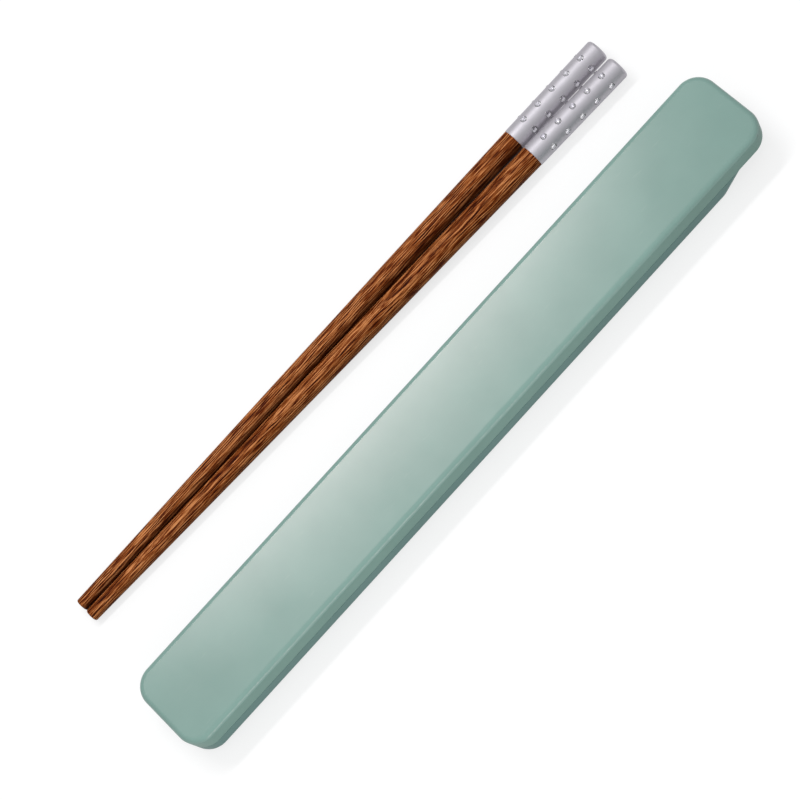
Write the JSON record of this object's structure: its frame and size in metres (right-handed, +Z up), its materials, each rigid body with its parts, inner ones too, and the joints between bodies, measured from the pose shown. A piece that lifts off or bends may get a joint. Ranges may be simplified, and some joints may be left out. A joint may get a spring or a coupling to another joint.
{
  "type": "chopstick travel case",
  "caption": "Slim rounded travel case with a lift-off press-fit lid, and the tapered wooden chopsticks with crystal-set metal caps that it carries.",
  "frame": {"origin": "middle of the case's underside, on the surface that the case stands on", "axes": "+X along the case to its cut-back end, +Y across the case to the side where the chopsticks lie, +Z up"},
  "size_m": [0.2518, 0.0674, 0.0152],
  "materials": {
    "tray_plastic": "satin moulded sage green",
    "lid_plastic": "satin moulded sage green",
    "stick_wood": "oiled dark open-grained hardwood with tan streaks",
    "cap_metal": "satin anodised",
    "crystal": "polished facets"
  },
  "bodies": {
    "tray": {"tray": "tray_plastic"},
    "lid": {"lid": "lid_plastic"},
    "far_chopstick": {"far_shaft": "stick_wood", "far_cap": "cap_metal", "far_crystal_row_1": "crystal", "far_crystal_row_2": "crystal", "far_crystal_row_3": "crystal", "far_crystal_row_4": "crystal", "far_crystal_row_5": "crystal"},
    "near_chopstick": {"near_shaft": "stick_wood", "near_cap": "cap_metal", "near_crystal_row_1": "crystal", "near_crystal_row_2": "crystal", "near_crystal_row_3": "crystal", "near_crystal_row_4": "crystal", "near_crystal_row_5": "crystal"}
  },
  "joints": [
    {"name": "lid_lift", "type": "slide", "parent": "tray", "child": "lid", "axis": [0, 0, 1], "range_m": [0, 0.06]},
    {"name": "far_chopstick_lift", "type": "slide", "parent": "tray", "child": "far_chopstick", "axis": [0, 0, 1], "range_m": [0, 0.04]},
    {"name": "near_chopstick_lift", "type": "slide", "parent": "tray", "child": "near_chopstick", "axis": [0, 0, 1], "range_m": [0, 0.04]}
  ]
}
